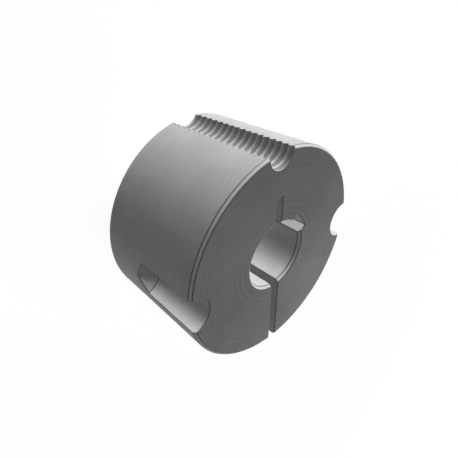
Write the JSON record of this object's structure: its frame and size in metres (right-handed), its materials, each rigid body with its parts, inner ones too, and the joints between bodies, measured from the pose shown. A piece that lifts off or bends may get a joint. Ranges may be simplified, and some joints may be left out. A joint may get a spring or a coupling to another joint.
{
  "type": "taper bush",
  "caption": "Split tapered sleeve that locks a hub on a keyed shaft, with plain and threaded screw half-holes along its tapered wall and a relief slot in its bore.",
  "frame": {"origin": "centre of the small end face, on the bore axis", "axes": "+Z along the bore axis from the small end to the large end, +Y through the saw cut, -Y through the jacking half-hole"},
  "size_m": [0.0382, 0.0381, 0.022],
  "materials": {
    "phosphated_iron": "turned cast iron with a thin matt grey phosphate coat"
  },
  "bodies": {
    "root": {"taper_bush": "phosphated_iron"}
  },
  "joints": []
}
